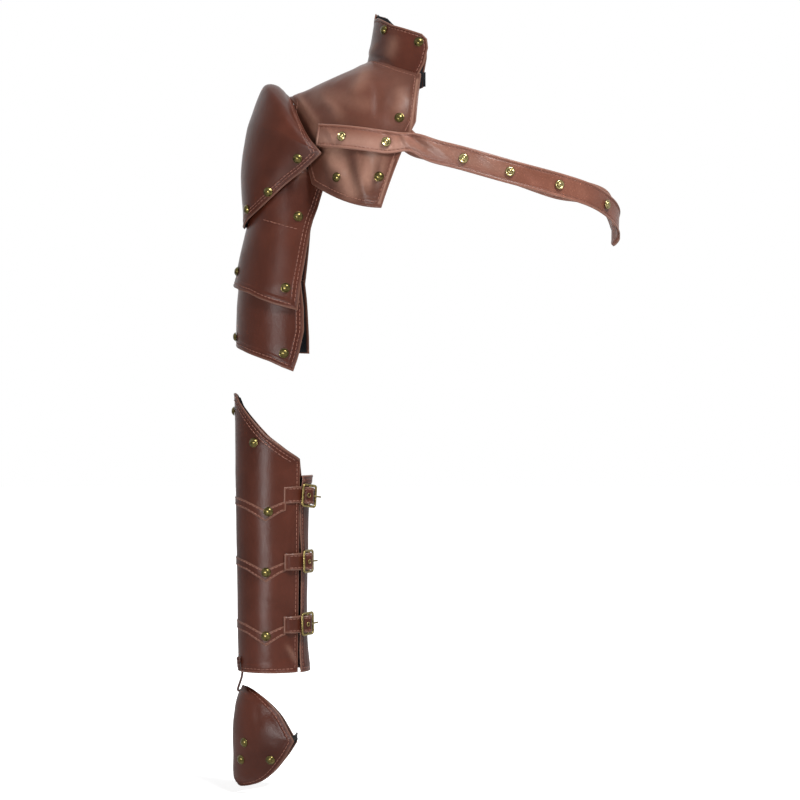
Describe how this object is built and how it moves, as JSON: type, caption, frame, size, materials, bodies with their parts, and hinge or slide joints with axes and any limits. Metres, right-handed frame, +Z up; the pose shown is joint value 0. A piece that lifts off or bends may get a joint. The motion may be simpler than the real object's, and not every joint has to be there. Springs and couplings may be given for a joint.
{
  "type": "shoulder armour harness",
  "caption": "One-arm leather armour: yoke with stand-up collar, domed shoulder cap, arm plates, chest strap, buckled bracer and laced hand guard.",
  "frame": {"origin": "centre of the wearer's shoulder joint, which the cap and yoke sit over", "axes": "+Z up along the hanging arm, -Y to the wearer's front, +X from the shoulder towards the neck"},
  "size_m": [0.3879, 0.2162, 0.7718],
  "materials": {
    "brown_leather": "semi-gloss, fine grain",
    "strap_leather": "semi-gloss, soft",
    "lace_leather": "matt",
    "black_lining": "woven, matt",
    "black_elastic": "ribbed elastic",
    "antique_brass": "antique, dark in the hollows"
  },
  "bodies": {
    "harness": {"yoke": "brown_leather", "yoke_lining": "black_lining", "yoke_rivets": "antique_brass", "collar": "brown_leather", "collar_lining": "black_lining", "collar_rivets": "antique_brass", "neck_tab": "black_elastic", "chest_strap": "strap_leather", "strap_studs": "antique_brass", "cap_tongue": "brown_leather"},
    "pauldron": {"cap": "brown_leather", "cap_lining": "black_lining", "cap_rivets": "antique_brass", "upper_plate": "brown_leather", "upper_lining": "black_lining", "plate_rivets": "antique_brass"},
    "lower_arm_plate": {"lower_plate": "brown_leather", "lower_lining": "black_lining", "lower_rivets": "antique_brass"},
    "bracer_body": {"bracer": "brown_leather", "bracer_lining": "black_lining", "bracer_bands": "brown_leather", "bracer_rivets": "antique_brass", "buckle_1": "antique_brass", "buckle_2": "antique_brass", "buckle_3": "antique_brass", "chape_1": "brown_leather", "chape_2": "brown_leather", "chape_3": "brown_leather", "billet_1": "brown_leather", "billet_2": "brown_leather", "billet_3": "brown_leather", "bracer_lace": "lace_leather"},
    "top_prong": {"prong_1": "antique_brass"},
    "middle_prong": {"prong_2": "antique_brass"},
    "low_prong": {"prong_3": "antique_brass"},
    "guard": {"hand_guard": "brown_leather", "guard_lining": "black_lining", "guard_rivets": "antique_brass", "finger_elastic": "black_elastic", "hand_lace": "lace_leather"}
  },
  "joints": [
    {"name": "cap_lift", "type": "hinge", "parent": "harness", "child": "pauldron", "pos_m": [0.0015, 0, 0.0405], "axis": [0, 1, 0], "range_deg": [0, 35]},
    {"name": "lower_plate_swing", "type": "hinge", "parent": "pauldron", "child": "lower_arm_plate", "pos_m": [0, 0, -0.15], "axis": [0, 1, 0], "range_deg": [-3, 7]},
    {"name": "bracer_slide", "type": "slide", "parent": "harness", "child": "bracer_body", "axis": [0, 0, -1], "range_m": [0, 0.15]},
    {"name": "top_prong_lift", "type": "hinge", "parent": "bracer_body", "child": "top_prong", "pos_m": [0.02198, -0.01993, -0.355], "axis": [0, 0, -1], "range_deg": [0, 8]},
    {"name": "middle_prong_lift", "type": "hinge", "parent": "bracer_body", "child": "middle_prong", "pos_m": [0.02115, -0.01949, -0.42], "axis": [0, 0, -1], "range_deg": [0, 8]},
    {"name": "low_prong_lift", "type": "hinge", "parent": "bracer_body", "child": "low_prong", "pos_m": [0.02037, -0.01907, -0.482], "axis": [0, 0, -1], "range_deg": [0, 8]},
    {"name": "hand_guard_swing", "type": "hinge", "parent": "bracer_body", "child": "guard", "pos_m": [-0.04545, 0, -0.53315], "axis": [0, 1, 0], "range_deg": [-40, 60]}
  ]
}
